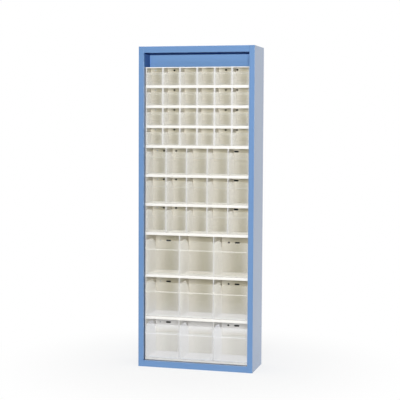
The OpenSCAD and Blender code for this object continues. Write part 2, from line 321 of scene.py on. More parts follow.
casing_paint, shader = new_material(
    "powder_coat",
    light=linear(101, 140, 188),
    dark=linear(96, 135, 183),
    drift_scale=COAT_DRIFT,
    roughness=(0.30, 0.38),
    relief=COAT_RELIEF,
    depth=COAT_DEPTH,
)
shader.inputs["Specular IOR Level"].default_value = 0.12
shader.inputs["Coat Weight"].default_value = 0.85
shader.inputs["Coat Roughness"].default_value = 0.15
print("material", casing_paint.name)

# %% [markdown]
# The header tray's coat carries painted shade and painted light. Its lid and its two sides are painted a darker
# blue, as the shade in the recess, and its back is painted as bright as the front, as painted light from the
# lamp. The strip right under the lid is painted darkest, as the shade of the top flange. One material does all
# three, with a change of tone from front to back and another one near the lid.

# %% Header paint with painted shade and light
BACK_LIGHT_FADE = (8 * MM, 2 * MM)
LID_SHADE_FADE = (10 * MM, 5 * MM)

header_painted_shade, shader = new_material(
    "header_coat_painted_shade",
    light=linear(92, 131, 192),
    dark=linear(85, 124, 184),
    drift_scale=COAT_DRIFT,
    roughness=(0.45, 0.55),
    relief=COAT_RELIEF,
    depth=COAT_DEPTH,
)
shader.inputs["Specular IOR Level"].default_value = 0.02
header_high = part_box("header_tray")[1]


def header_light_and_shade(tree, plain):
    """The header's coat, with painted light at its back and painted shade under its lid."""
    # Painted light: the back turns bright. Painted shade: the strip under the lid turns dark.
    back = [header_high.y - distance for distance in BACK_LIGHT_FADE]
    lid = [header_high.z - distance for distance in LID_SHADE_FADE]
    bright = along_axis(tree, plain, linear(136, 178, 228), (0, 1, 0), *back)
    return along_axis(tree, bright, linear(30, 56, 110), (0, 0, 1), *lid)


recolor(header_painted_shade, header_light_and_shade)
print("material", header_painted_shade.name)

# %% [markdown]
# The back panel is coated blue on its outside. Its inside is painted near-black as painted shade, standing in
# for the shade of the space behind the housings, so the hanging slots look black however brightly the housings
# are lit.

# %% Back panel with painted shade inside
SKIN = 0.3 * MM

# The near-black tones are painted shade; the blue outside is the real paint.
back_painted_shade, shader = new_material(
    "back_painted_shade",
    light=linear(22, 23, 25),
    dark=linear(16, 17, 19),
    drift_scale=COAT_DRIFT,
    roughness=(0.5, 0.6),
    relief=COAT_RELIEF,
    depth=COAT_DEPTH,
)
back_low, back_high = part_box("back_panel")


def back_shade_inside(tree, plain):
    """Painted shade inside, blue paint outside."""
    return along_axis(tree, plain, linear(98, 142, 196), (0, 1, 0), back_low.y + SKIN, back_high.y - SKIN)


recolor(back_painted_shade, back_shade_inside)
print("material", back_painted_shade.name)

# %% [markdown]
# ## Finishes: moulded plastic
#
# The housings are injection-moulded in an off-white plastic, with the even satin of a lightly blasted mould.
# Their rims stand in the open and stay nearly white. The walls of the cells get painted shade, a warmer and
# darker tone, which is what makes the cells read as deep although the light comes from the front. The change
# takes the first few centimetres behind the rims. The painted shade is darkest in the middle of each cell and
# lighter at its sides, as painted light for what the clear walls of the bins send back there. A second
# attribute paints shade on the posts, a little greyer than the rims, for the light that the two clear walls
# beside them take. Painted light from the pale floor brightens the upper part of the lowest row's back. The
# relief is finer and softer than the paint's.

# %% Housing plastic
POST = "post"
# Painted shade on the posts, for the light that the clear walls beside them take.
POST_SHADE = (0.70, 0.71, 0.74, 1)
RIM_DEPTH = 3 * MM
# Painted shade of the cell walls: how far behind the rims it is full, and where across a cell it turns lighter.
SHADE_DEPTH = 75 * MM
SHADE_HALF = 0.05
SHADE_FULL = 1.0
# Painted light from the floor on the lowest row's back, between these heights.
LIT_TOP = 280 * MM
TOP_BLUR = 8 * MM
LIT_LOW = 205 * MM
LOW_BLUR = 60 * MM
PLASTIC_DEPTH = 0.02 * MM

housing_plastic, shader = new_material(
    "moulded_white",
    light=linear(243, 241, 236),
    dark=linear(239, 237, 231),
    drift_scale=6.0,
    roughness=(0.36, 0.44),
    relief=(1500.0, 20.0),
    depth=PLASTIC_DEPTH,
)
housing_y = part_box("small_housings")[0].y


def housing_tones_and_shade(tree, plain):
    """White rims, posts with painted shade, and cells with painted shade in their depth and painted floor light
    at the foot.
    """
    # Painted shade on posts and cell walls, painted light at the cells' sides and on the lowest row's back.
    open_tone = mix_colors(tree, attribute(tree, POST), plain, POST_SHADE, "MULTIPLY")
    side_light = share_off_middle(tree, SHADE_HALF, SHADE_FULL)
    cell_shade = mix_colors(tree, side_light, linear(190, 184, 161), linear(226, 221, 207))
    down = (0, 0, -1)
    lit = along_axis(tree, cell_shade, linear(240, 239, 238), down, -LIT_TOP, TOP_BLUR - LIT_TOP)
    deep = along_axis(tree, lit, cell_shade, down, -LIT_LOW, LOW_BLUR - LIT_LOW)
    return along_axis(tree, open_tone, deep, (0, 1, 0), housing_y + RIM_DEPTH, housing_y + SHADE_DEPTH)


recolor(housing_plastic, housing_tones_and_shade)
print("material", housing_plastic.name)

# %% [markdown]
# ## Finishes: clear plastic
# A bin's wall is two millimetres of clear plastic. Real refraction through forty-eight thin trays, one
# behind another, costs much and shows little, because both sides of a wall are parallel and bend the light
# back. What the eye sees is a faint veil that thickens where a wall is seen along its length, and bright
# edges. So the wall's opacity follows the angle at which it is seen, from almost nothing to nearly solid. The
# light that enters a clear wall at its broad side comes out at its rims, and emission stands in for that,
# since a wall seen along its length would otherwise turn grey in the shade of its neighbours. Only the eye and
# mirrors see that emission, so it doesn't light the housings. A painted veil of the same light, in opacity and
# glow, fades from the sides of each tray towards its middle. The lowest row gets a painted reflection of the
# bright floor: a bluish veil over its fronts, set by height alone.

# %% Clear plastic
CLEAR_FLAT = 0.025
CLEAR_LOW = 0.12
CLEAR_EDGE = 0.50
SLANT = 0.32
EDGE_NONE = 0.2
EDGE_FULL = 0.6
EDGE_GLOW = 0.45
VEIL_GLOW = 0.7
FLOOR_REFLECTION_NONE = 0.42
FLOOR_REFLECTION_FULL = 0.24
SIDE_VEIL = 0.75
SIDE_NONE = 0.5
SIDE_FULL = 1.0
MOST_LAYERS = 32

clear_plastic, shader = new_material(
    "moulded_clear",
    light=linear(248, 248, 246),
    dark=linear(243, 243, 241),
    drift_scale=9.0,
    roughness=(0.06, 0.16),
    relief=(240.0, 22.0),
    depth=PLASTIC_DEPTH,
)
tree = clear_plastic.node_tree
slant = add_node(tree, "ShaderNodeLayerWeight", {"Blend": SLANT}).outputs["Facing"]
height = add_node(tree, "ShaderNodeSeparateXYZ", {"Vector": own_place(tree)}).outputs["Z"]
# Painted reflection of the bright floor: opacity and a bluish glow that grow towards the bottom, by height
# alone.
floor_reflection = map_range(tree, height, FLOOR_REFLECTION_NONE, FLOOR_REFLECTION_FULL, ease="SMOOTHSTEP")
# Painted light: a veil of opacity and glow that grows towards the sides of each tray.
side_veil = calculate(tree, "MULTIPLY", share_off_middle(tree, SIDE_NONE, SIDE_FULL), SIDE_VEIL)
thickest = calculate(tree, "MAXIMUM", floor_reflection, side_veil)
least = map_range(tree, thickest, low=CLEAR_FLAT, high=CLEAR_LOW)
tree.links.new(map_range(tree, slant, low=least, high=CLEAR_EDGE), shader.inputs["Alpha"])

edge = map_range(tree, slant, EDGE_NONE, EDGE_FULL)
brightest = calculate(tree, "MAXIMUM", edge, calculate(tree, "MULTIPLY", thickest, VEIL_GLOW))
share = calculate(tree, "MULTIPLY", brightest, directly_seen(tree))
tint = mix_colors(tree, floor_reflection, linear(255, 251, 240), linear(240, 243, 255))
glow = mix_colors(tree, share, (0, 0, 0, 1), tint)
tree.links.new(glow, shader.inputs["Emission Color"])
shader.inputs["Emission Strength"].default_value = EDGE_GLOW
bpy.context.scene.cycles.transparent_max_bounces = MOST_LAYERS
print("material", clear_plastic.name, "opacity", CLEAR_FLAT, "to", CLEAR_EDGE)

# %% [markdown]
# ## Finishes: zinc
#
# The screws are zinc-plated. Their heads are a few millimetres across and sit deep in the cells, so the
# metal only has to catch a grey glint. It uses the same two groups, with a metallic base.

# %% Zinc
screw_zinc, shader = new_material(
    "zinc_plate",
    light=linear(190, 192, 196),
    dark=linear(168, 170, 174),
    drift_scale=120.0,
    roughness=(0.28, 0.42),
    relief=(2500.0, 60.0),
    depth=PLASTIC_DEPTH,
)
shader.inputs["Metallic"].default_value = 1.0
print("material", screw_zinc.name)

# %% [markdown]
# ## Pieces
#
# Every new piece goes through one function: it takes a finished bmesh, makes an object of it at the origin,
# smooths the faces that meet at a shallow angle, and says what the piece rides on, what it stands for and
# which finish it has. A modifier lets the large faces decide the normals at their corners. Without it a broad
# flange would be shaded as if it were bent, because its corners are shared with the narrow faces of a fold.

# %% Piece helper
SHARP_ANGLE = math.radians(35)


def new_piece(name, shape, material, body="cabinet", stands_for=()):
    """Makes an object of a bmesh, lets it ride on a body and hides the nodes that it stands for."""
    mesh = bpy.data.meshes.new(name)
    shape.to_mesh(mesh)
    shape.free()
    mesh.materials.append(material)
    mesh.shade_smooth()
    mesh.set_sharp_from_angle(angle=SHARP_ANGLE)
    piece = bpy.data.objects.new(name, mesh)
    bpy.context.scene.collection.objects.link(piece)
    even = piece.modifiers.new("even_normals", "WEIGHTED_NORMAL")
    even.keep_sharp = True
    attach(piece, body)
    for node in stands_for:
        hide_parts(node)
    return piece


# %% [markdown]
# A few small mesh tools are used again and again. Rounding and cutting wrap one bmesh operator each, with the
# settings that suit this model, so that all edges are rounded in the same way. The other two pick the points
# that an extrusion made, and tell whether a point or face is where it should be. Faces are found by their
# place and direction, because the numbers of faces change with every cut.

# %% Mesh helpers
MERGE = 0.01 * MM
NEAR = 0.1 * MM
FACING = 0.9
IN_PLANE = 0.999


def round_off(shape, geom, radius, steps, affect="EDGES"):
    """Rounds edges or corners."""
    bmesh.ops.bevel(
        shape, geom=geom, offset=radius, offset_type="OFFSET", segments=steps,
        profile=0.5, affect=affect, material=-1, clamp_overlap=True,
    )


def moved_verts(extruded):
    """The vertices that an extrude operator made."""
    return [part for part in extruded["geom"] if isinstance(part, bmesh.types.BMVert)]


def cut_faces(shape, faces, place, direction):
    """Cuts some faces of a shape with a plane, without taking anything away."""
    edges = {edge for face in faces for edge in face.edges}
    verts = {vert for face in faces for vert in face.verts}
    bmesh.ops.bisect_plane(
        shape, geom=faces + list(edges) + list(verts), dist=MERGE,
        plane_co=place, plane_no=direction,
    )


def is_near(value, wanted):
    """Whether two lengths agree to a tenth of a millimetre."""
    return abs(value - wanted) < NEAR


# %% [markdown]
# ## Folded sheet
#
# The casing is bent from thin steel, and a bend is never sharp: its outside has a radius about equal to the
# sheet's thickness, which draws a fine highlight along every edge. A box with bevelled edges could imitate
# that, but here the pieces are made as they are made in a workshop: a chain of edges is the sheet's section,
# it is drawn out to the full length, its folds are rounded, and the sheet gets its thickness on the inside.

# %% Folded sheet
SHEET = 1.2 * MM
BEND = 1.4 * MM
BEND_STEPS = 3
LEAST_FOLD = math.radians(60)


def drawn_sheet(section, length):
    """The outside of a folded sheet: a chain of points drawn out along a vector."""
    shape = bmesh.new()
    chain = [shape.verts.new(point) for point in section]
    edges = [shape.edges.new(pair) for pair in zip(chain, chain[1:])]
    extruded = bmesh.ops.extrude_edge_only(shape, edges=edges)
    bmesh.ops.translate(shape, vec=length, verts=moved_verts(extruded))
    return shape


def fold_and_thicken(shape, inside):
    """Rounds the folds and gives the sheet its thickness on the side that faces the point inside."""
    bmesh.ops.remove_doubles(shape, verts=shape.verts, dist=MERGE)
    folds = [
        edge for edge in shape.edges
        if len(edge.link_faces) == 2 and edge.calc_face_angle() > LEAST_FOLD
    ]
    round_off(shape, folds, BEND, BEND_STEPS)
    bmesh.ops.recalc_face_normals(shape, faces=shape.faces)
    largest = max(shape.faces, key=lambda face: face.calc_area())
    if largest.normal.dot(inside - largest.calc_center_median()) > 0:
        bmesh.ops.reverse_faces(shape, faces=shape.faces)
    bmesh.ops.solidify(shape, geom=shape.faces[:], thickness=SHEET)
    return shape


side_low, side_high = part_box("side_panel_right")
casing_half = side_high.x
opening_half = side_low.x
front_y = side_low.y
rear_y = side_high.y
casing_h = side_high.z
RETURN_D = 20 * MM
REAR_FLANGE = 18 * MM
middle = Vector((0, 0, casing_h / 2))
print("casing", round(2 * casing_half, 3), "by", round(rear_y - front_y, 3), "by", round(casing_h, 3), "m")

# %% [markdown]
# ## Side panels
#
# Each side is one sheet with four folds: from the hidden return inside the opening, round the broad face
# flange, back along the side and in again behind, where the back panel is fixed. The return stops one sheet's
# thickness short at both ends, because the decks of the top and the bottom close the channel there. It is cut
# from the drawn strip with two planes. The left panel is the right one with its section mirrored, which turns
# its faces inside out, so the mirror comes before the sheet gets its thickness. The thickness follows the
# corners' normals, which lean outwards at the shortened return, so both ends are levelled last.

# %% Side panels


def shorten_return(shape, side):
    """Takes one sheet's thickness off both ends of a side panel's return."""
    for height in (SHEET, casing_h - SHEET):
        cut_faces(shape, shape.faces[:], (0, 0, height), (0, 0, 1))
    ends = [
        face for face in shape.faces
        if abs(face.normal.x) > FACING
        and is_near(face.calc_center_median().x, side * opening_half)
        and not SHEET < face.calc_center_median().z < casing_h - SHEET
    ]
    bmesh.ops.delete(shape, geom=ends, context="FACES")


for side, name in ((1, "side_panel_right"), (-1, "side_panel_left")):
    section = [
        (side * opening_half, front_y + RETURN_D, 0),
        (side * opening_half, front_y, 0),
        (side * casing_half, front_y, 0),
        (side * casing_half, rear_y, 0),
        (side * (casing_half - REAR_FLANGE), rear_y, 0),
    ]
    shape = drawn_sheet(section, (0, 0, casing_h))
    shorten_return(shape, side)
    fold_and_thicken(shape, middle)
    for vert in shape.verts:
        vert.co.z = max(0, min(casing_h, vert.co.z))
    piece = new_piece(name + "_folded", shape, casing_paint, stands_for=[name])
    print(piece.name, len(piece.data.polygons), "faces")

# %% [markdown]
# ## Top and bottom panels
#
# The top and the bottom are the same kind of sheet laid across: return, face flange, deck, rear flange. The
# deck alone is wider and reaches the side panels over the ends of their channels. It is cut out of the drawn
# strip with two planes, and its ends are drawn out further, which is simpler than a second sheet joined on.

# %% Top and bottom panels


def deck(name, level, inward):
    """Top or bottom panel, with its deck at a level and its flanges pointing inward, up or down."""
    low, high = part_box(name)
    face_h = high.z - low.z
    section = [
        (-opening_half, front_y + RETURN_D, level + inward * face_h),
        (-opening_half, front_y, level + inward * face_h),
        (-opening_half, front_y, level),
        (-opening_half, rear_y, level),
        (-opening_half, rear_y, level + inward * REAR_FLANGE),
    ]
    shape = drawn_sheet(section, (2 * opening_half, 0, 0))
    wing_front = front_y + SHEET + BEND
    wing_rear = rear_y - SHEET - BEND
    for y in (wing_front, wing_rear):
        cut_faces(shape, shape.faces[:], (0, y, level), (0, 1, 0))
    for side in (-1, 1):
        ends = [
            edge for edge in shape.edges
            if all(
                is_near(v.co.x, side * opening_half) and is_near(v.co.z, level)
                and wing_front - NEAR < v.co.y < wing_rear + NEAR
                for v in edge.verts
            )
        ]
        extruded = bmesh.ops.extrude_edge_only(shape, edges=ends)
        reach = side * (high.x - opening_half)
        bmesh.ops.translate(shape, vec=(reach, 0, 0), verts=moved_verts(extruded))
    fold_and_thicken(shape, middle)
    return new_piece(name + "_folded", shape, casing_paint, stands_for=[name])


for name, level, inward in (("bottom_panel", 0, 1), ("top_panel", casing_h, -1)):
    piece = deck(name, level, inward)
    print(piece.name, len(piece.data.polygons), "faces")

# %% [markdown]
# ## Header tray
#
# Above the top row the casing is closed by a shallow tray, open to the front and below. Its two sides and
# its back are one folded strip. The lid is drawn out from the top of one side until it meets the other, and
# merging the doubled points joins it to the back as well.

# %% Header tray
tray_low, tray_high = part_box("header_tray")
tray_back = tray_high.y - SHEET
tray_top = tray_high.z - SHEET
section = [
    (-opening_half, tray_low.y, tray_low.z),
    (-opening_half, tray_back, tray_low.z),
    (opening_half, tray_back, tray_low.z),
    (opening_half, tray_low.y, tray_low.z),
]
shape = drawn_sheet(section, (0, 0, tray_top - tray_low.z))
left_edge = [
    edge for edge in shape.edges
    if all(is_near(v.co.x, -opening_half) and is_near(v.co.z, tray_top) for v in edge.verts)
]
extruded = bmesh.ops.extrude_edge_only(shape, edges=left_edge)
bmesh.ops.translate(shape, vec=(2 * opening_half, 0, 0), verts=moved_verts(extruded))
fold_and_thicken(shape, Vector((0, 1, 2 * casing_h)))
piece = new_piece("header_tray_folded", shape, header_painted_shade, stands_for=["header_tray"])
print(piece.name, len(piece.data.polygons), "faces")

# %% [markdown]
# The back panel and the mounting plates are flat sheets that hardly show. The construction's own shapes are
# right for them, with the windows behind the slots and the screw holes, so they only get a finish.

# %% Flat sheets that keep the frame's own shape
for name, finish in (("back_panel", back_painted_shade), ("mounting_plates", casing_paint)):
    nodes[name].data.materials.clear()
    nodes[name].data.materials.append(finish)
    print(name, "in", finish.name)

# %% [markdown]
# ## Housings
#
# A housing is one moulding: a block opened into cells, with thin partitions, a lip along the top and an
# apron along the bottom. All of that is in the construction, with the real slots and pin sockets, but its
# edges are mathematically sharp, and a sharp edge never catches the light. A copy of each housing is merged,
# its flat faces are cleaned of triangles, and its long edges are rounded as a mould would round them. Then it
# gets the two attributes that its finish reads. Every corner notes how far it is from the middle of its cell,
# and the slim upright faces between the cells are cut free of the rims and noted as posts.

# %% Housing helpers
POST_WIDEST = 12 * MM
POST_LOWEST = 30 * MM
POST_DEPTH = 1.5 * MM
FLAT_ANGLE = math.radians(0.5)


def solids_of(node):
    """The separate solids of a node, each as a merged bmesh of its own, from the top down."""
    whole = bmesh.new()
    whole.from_mesh(nodes[node].data)
    bmesh.ops.remove_doubles(whole, verts=whole.verts, dist=MERGE)
    whole.verts.ensure_lookup_table()
    group_of = {}
    for start in whole.verts:
        if start.index in group_of:
            continue
        group_of[start.index] = start.index
        waiting = [start]
        while waiting:
            vert = waiting.pop()
            for edge in vert.link_edges:
                other = edge.other_vert(vert)
                if other.index not in group_of:
                    group_of[other.index] = start.index
                    waiting.append(other)
    found = []
    for group in sorted(set(group_of.values())):
        part = whole.copy()
        part.verts.ensure_lookup_table()
        others = [part.verts[i] for i, g in group_of.items() if g != group]
        bmesh.ops.delete(part, geom=others, context="VERTS")
        found.append(part)
    whole.free()
    return sorted(found, key=lambda part: -max(v.co.z for v in part.verts))


def round_edges(shape, radius, shortest, steps=2):
    """Cleans the flat faces of triangles and rounds the straight edges longer than shortest."""
    bmesh.ops.dissolve_limit(
        shape, angle_limit=FLAT_ANGLE, verts=shape.verts[:], edges=shape.edges[:],
    )
    sharp = [
        edge for edge in shape.edges
        if len(edge.link_faces) == 2
        and edge.calc_face_angle() > SHARP_ANGLE
        and edge.calc_length() > shortest
    ]
    round_off(shape, sharp, radius, steps)


def mark_across(shape, centres, half):
    """Notes at every corner how far it is from the nearest centre: -1 and 1 at the sides, 0 between."""
    layer = shape.verts.layers.float.new(ACROSS)
    for vert in shape.verts:
        away = min((vert.co.x - centre for centre in centres), key=abs)
        vert[layer] = max(-1, min(1, away / half))


def cell_levels(shape, front):
    """The heights between which the cells are open, read from the upright edges of their rims."""
    side = max(vert.co.x for vert in shape.verts) - MM
    uprights = []
    for edge in shape.edges:
        low, high = sorted(vert.co.z for vert in edge.verts)
        in_rim = all(vert.co.y < front + POST_DEPTH and abs(vert.co.x) < side for vert in edge.verts)
        if in_rim and high - low > POST_LOWEST:
            uprights.append((low, high))
    return max(low for low, high in uprights), min(high for low, high in uprights)


def mark_posts(shape, share):
    """Parts the posts' front faces from the rims and notes on them how much painted shade they get."""
    front = min(vert.co.y for vert in shape.verts)
    for level in cell_levels(shape, front):
        faces = [
            face for face in shape.faces
            if face.normal.y < -FACING and face.calc_center_median().y < front + POST_DEPTH
        ]
        cut_faces(shape, faces, (0, 0, level), (0, 0, 1))
    layer = shape.faces.layers.float.new(POST)
    for face in shape.faces:
        across = [vert.co.x for vert in face.verts]
        upright = [vert.co.z for vert in face.verts]
        slim = max(across) - min(across) < POST_WIDEST and max(upright) - min(upright) > POST_LOWEST
        if slim and face.calc_center_median().y < front + POST_DEPTH:
            face[layer] = share


# %% Housings
HOUSING_ROUND = 0.5 * MM
SHORTEST_EDGE = 8 * MM
PARTITION = 2.5 * MM
# How much of the posts' painted shade each size of housing gets.
POST_SHADE_SHARE = {"small": 0.75, "medium": 1.0, "large": 1.0}
pivots = {joint["child"]: Vector(joint["pos_m"]) for joint in frame["joints"]}

for size, post_shade_share in POST_SHADE_SHARE.items():
    node = size + "_housings"
    centres = [place.x for name, place in pivots.items() if name.startswith(size + "_bin_r1")]
    cell_half = (max(centres) - min(centres)) / (len(centres) - 1) / 2 - PARTITION / 2
    for row, shape in enumerate(solids_of(node), start=1):
        round_edges(shape, HOUSING_ROUND, SHORTEST_EDGE)
        mark_across(shape, centres, cell_half)
        mark_posts(shape, post_shade_share)
        piece = new_piece(f"{size}_housing_r{row}", shape, housing_plastic, stands_for=[node])
        print(piece.name, len(piece.data.polygons), "faces")

# %% [markdown]
# ## Screws
#
# Two screws hold each housing to the plate behind it. Only the head shows, through the clear bins. Its
# section is a quarter round that is spun about the screw's axis, and the hexagon in its top is bridged to
# the round edge and sunk, which gives a real socket and not a painted one.

# %% Screws
HEAD_R = 4 * MM
HEAD_H = 1.8 * MM
SHANK_R = 2 * MM
SOCKET_R = 1.6 * MM
SOCKET_DEPTH = 1.1 * MM
HEAD_STEPS = 24


def screw_shape(place, length):
    """A pan-head screw along +Y, with the underside of its head at the place given."""
    shape = bmesh.new()
    profile = [
        (SHANK_R, length), (SHANK_R, 0), (HEAD_R, 0), (HEAD_R, -0.5 * HEAD_H),
        (0.9 * HEAD_R, -0.85 * HEAD_H), (0.7 * HEAD_R, -HEAD_H),
    ]
    line = [shape.verts.new((radius, y, 0)) for radius, y in profile]
    edges = [shape.edges.new(pair) for pair in zip(line, line[1:])]
    bmesh.ops.spin(
        shape, geom=line + edges, cent=(0, 0, 0), axis=(0, 1, 0),
        angle=math.tau, steps=HEAD_STEPS, use_merge=True, use_duplicate=False,
    )
    rims = [edge for edge in shape.edges if edge.is_boundary]
    tip = [edge for edge in rims if edge.verts[0].co.y > 0]
    face = [edge for edge in rims if edge.verts[0].co.y < 0]
    bmesh.ops.holes_fill(shape, edges=tip, sides=0)
    lay = Matrix.Translation((0, -HEAD_H, 0)) @ Matrix.Rotation(math.pi / 2, 4, "X")
    socket = bmesh.ops.create_circle(shape, radius=SOCKET_R, segments=6, matrix=lay)
    ring = list({edge for vert in socket["verts"] for edge in vert.link_edges})
    bmesh.ops.bridge_loops(shape, edges=face + ring)
    sunk = bmesh.ops.extrude_edge_only(shape, edges=ring)
    bmesh.ops.translate(shape, vec=(0, SOCKET_DEPTH, 0), verts=moved_verts(sunk))
    floor = [edge for edge in shape.edges if edge.is_boundary]
    bmesh.ops.holes_fill(shape, edges=floor, sides=0)
    bmesh.ops.recalc_face_normals(shape, faces=shape.faces)
    bmesh.ops.translate(shape, vec=place, verts=shape.verts)
    return shape


screws = bmesh.new()
for solid in solids_of("housing_screws"):
    low = Vector([min(v.co[i] for v in solid.verts) for i in range(3)])
    high = Vector([max(v.co[i] for v in solid.verts) for i in range(3)])
    centre = (low + high) / 2
    seat = low.y + HEAD_H
    one = screw_shape(Vector((centre.x, seat, centre.z)), high.y - seat)
    carrier = bpy.data.meshes.new("screw")
    one.to_mesh(carrier)
    screws.from_mesh(carrier)
    bpy.data.meshes.remove(carrier)
    one.free()
    solid.free()
piece = new_piece("screws_with_sockets", screws, screw_zinc, stands_for=["housing_screws"])
print(piece.name, len(piece.data.polygons), "faces")

# %% [markdown]
# ## Bins
#
# A bin is a thin clear tray. Seen from the side its front has a foot, a slightly drawn-in wall, a step
# forward that makes the finger grip, and a label band that leans back. Its toe and its back are cut to arcs
# about the pivot, so that the tray turns over its apron and swings out under the housing's lip. The section
# is drawn once for each size from that size's box and pivot, its corners are rounded, and it is drawn out to
# the width. Then the upright corners are rounded, the rim is opened and the wall gets its thickness inwards.

# %% Bin section
BIN_WALL = 2 * MM
PIN_REACH = 1.8 * MM
PIN_R = 2.5 * MM
FOOT_OUT = 5 * MM
FOOT_H = 12 * MM
WAIST_IN = 3 * MM
NECK_DROP = 6 * MM
FOOT_ROUND = 1.5 * MM
ANKLE_ROUND = 2.5 * MM
WAIST_ROUND = 9 * MM
NECK_ROUND = 2 * MM
GRIP_ROUND = 1.4 * MM
STOP_ANGLE = math.radians(45)
TOE_STEPS = 6
ARC_STEPS = 12
BAND_H = {"small": 16 * MM, "medium": 29 * MM, "large": 48 * MM}
BAND_RAKE = {"small": 8 * MM, "medium": 15 * MM, "large": 27 * MM}


def bin_sizes(size):
    """The driving sizes of one size of bin, about its pivot, read from the first bin of that size."""
    name = size + "_bin_r1_c1"
    pivot = pivots[name]
    low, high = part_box(name)
    radius = max(math.hypot(v.co.y - pivot.y, v.co.z - pivot.z) for v in nodes[name].data.vertices)
    return {
        "half": (high.x - low.x) / 2 - PIN_REACH,
        "foot_y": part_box(size + "_housings")[0].y - FOOT_OUT - pivot.y,
        "bottom": low.z - pivot.z,
        "grip_y": low.y - pivot.y,
        "back": high.y - pivot.y,
        "top": high.z - pivot.z,
        "swing": radius,
        "band": BAND_H[size],
        "rake": BAND_RAKE[size],
    }


def front_section(s):
    """The outside of a bin's front, from its toe up to its rim, as (y, z, rounding) about the pivot."""
    toe_r = -s["bottom"]
    foot_z = (-s["foot_y"] * math.sin(STOP_ANGLE) - toe_r) / math.cos(STOP_ANGLE)
    grip_z = s["top"] - s["band"]
    turns = [STOP_ANGLE * step / TOE_STEPS for step in range(TOE_STEPS + 1)]
    return [(-toe_r * math.sin(turn), -toe_r * math.cos(turn), 0) for turn in turns] + [
        (s["foot_y"], foot_z, FOOT_ROUND),
        (s["foot_y"], FOOT_H, ANKLE_ROUND),
        (s["foot_y"] + WAIST_IN, (FOOT_H + grip_z - NECK_DROP) / 2, WAIST_ROUND),
        (s["foot_y"], grip_z - NECK_DROP, NECK_ROUND),
        (s["grip_y"], grip_z, GRIP_ROUND),
        (s["grip_y"] + s["rake"], s["top"], 0),
    ]


def swing_section(s):
    """The arc of the rim at the back, from the level top down to the back wall, in the same way."""
    first = math.asin(s["top"] / s["swing"])
    last = math.acos(s["back"] / s["swing"])
    angles = [first + (last - first) * step / ARC_STEPS for step in range(ARC_STEPS + 1)]
    return [(s["swing"] * math.cos(a), s["swing"] * math.sin(a), 0) for a in angles]


for size in BAND_H:
    print(size, {key: round(value / MM, 1) for key, value in bin_sizes(size).items()})

# %% Bin shell
CORNER_R = 2.6 * MM
CORNER_STEPS = 3
HEEL_R = 6 * MM
PROFILE_STEPS = 4


def bin_tray(s):
    """The open tray of a bin about its pivot, as a closed wall of even thickness."""
    shape = bmesh.new()
    outline = front_section(s) + swing_section(s) + [(s["back"], s["bottom"], HEEL_R)]
    corners = [(shape.verts.new((-s["half"], y, z)), radius) for y, z, radius in outline]
    shape.faces.new([corner for corner, radius in corners])
    for corner, radius in corners:
        if radius > 0:
            round_off(shape, [corner], radius, PROFILE_STEPS, affect="VERTICES")
    extruded = bmesh.ops.extrude_face_region(shape, geom=shape.faces[:])
    bmesh.ops.translate(shape, vec=(2 * s["half"], 0, 0), verts=moved_verts(extruded))
    bmesh.ops.recalc_face_normals(shape, faces=shape.faces)
    open_faces = [
        face for face in shape.faces
        if abs(face.normal.x) < 1 - FACING and all(
            v.co.z > s["top"] - MERGE or math.hypot(v.co.y, v.co.z) > s["swing"] - MERGE
            for v in face.verts
        )
    ]
    bmesh.ops.delete(shape, geom=open_faces, context="FACES")
    uprights = [
        edge for edge in shape.edges
        if len(edge.link_faces) == 2 and any(abs(face.normal.x) > FACING for face in edge.link_faces)
    ]
    round_off(shape, uprights, CORNER_R, CORNER_STEPS)
    bmesh.ops.solidify(shape, geom=shape.faces[:], thickness=BIN_WALL)
    return shape


# %% [markdown]
# ## Label frame and pins
#
# The label band carries a low rib on three sides, which a paper label slides behind. It isn't a separate
# bar: the band's own face is cut with planes where the rib begins and ends, and the strips between the cuts
# are extruded outwards, so the tray stays one closed skin. The pins are moulded on the sides.

# %% Label frame and pins
RIB_W = 2 * MM
RIB_H = 0.9 * MM
LABEL_INSET = 6 * MM
PIN_STEPS = 20


def add_label_frame(shape, s):
    """Raises the rib that frames the label: a ledge above the grip and an upright at each end."""
    along = Vector((0, s["rake"], s["band"])).normalized()
    outward = Vector((0, -s["band"], s["rake"])).normalized()
    start = Vector((0, s["grip_y"], s["top"] - s["band"]))
    length = math.hypot(s["rake"], s["band"])
    reach = s["half"] - LABEL_INSET

    def band_faces():
        return [
            face for face in shape.faces
            if face.normal.dot(outward) > IN_PLANE
            and is_near((face.calc_center_median() - start).dot(outward), 0)
        ]

    cuts = [(along, RIB_W), (along, 2 * RIB_W), (along, length - RIB_W)]
    cuts += [(Vector((1, 0, 0)), x) for x in (-reach, RIB_W - reach, reach - RIB_W, reach)]
    for direction, distance in cuts:
        cut_faces(shape, band_faces(), start + direction * distance, direction)
    ribs = []
    for face in band_faces():
        centre = face.calc_center_median()
        height = (centre - start).dot(along)
        in_ledge = abs(centre.x) < reach and RIB_W < height < 2 * RIB_W
        in_upright = reach - RIB_W < abs(centre.x) < reach and RIB_W < height < length - RIB_W
        if in_ledge or in_upright:
            ribs.append(face)
    raised = bmesh.ops.extrude_face_region(shape, geom=ribs)
    bmesh.ops.translate(shape, vec=outward * RIB_H, verts=moved_verts(raised))
    bmesh.ops.delete(shape, geom=ribs, context="FACES")


def add_pins(shape, s):
    """A round pin on each side of the tray, on the pivot's axis, rooted halfway into the wall."""
    length = PIN_REACH + BIN_WALL / 2
    for side in (-1, 1):
        middle_x = side * (s["half"] + PIN_REACH - length / 2)
        lay = Matrix.Translation((middle_x, 0, 0)) @ Matrix.Rotation(side * math.pi / 2, 4, "Y")
        bmesh.ops.create_cone(
            shape, cap_ends=True, cap_tris=False, segments=PIN_STEPS,
            radius1=PIN_R, radius2=PIN_R, depth=length, matrix=lay,
        )


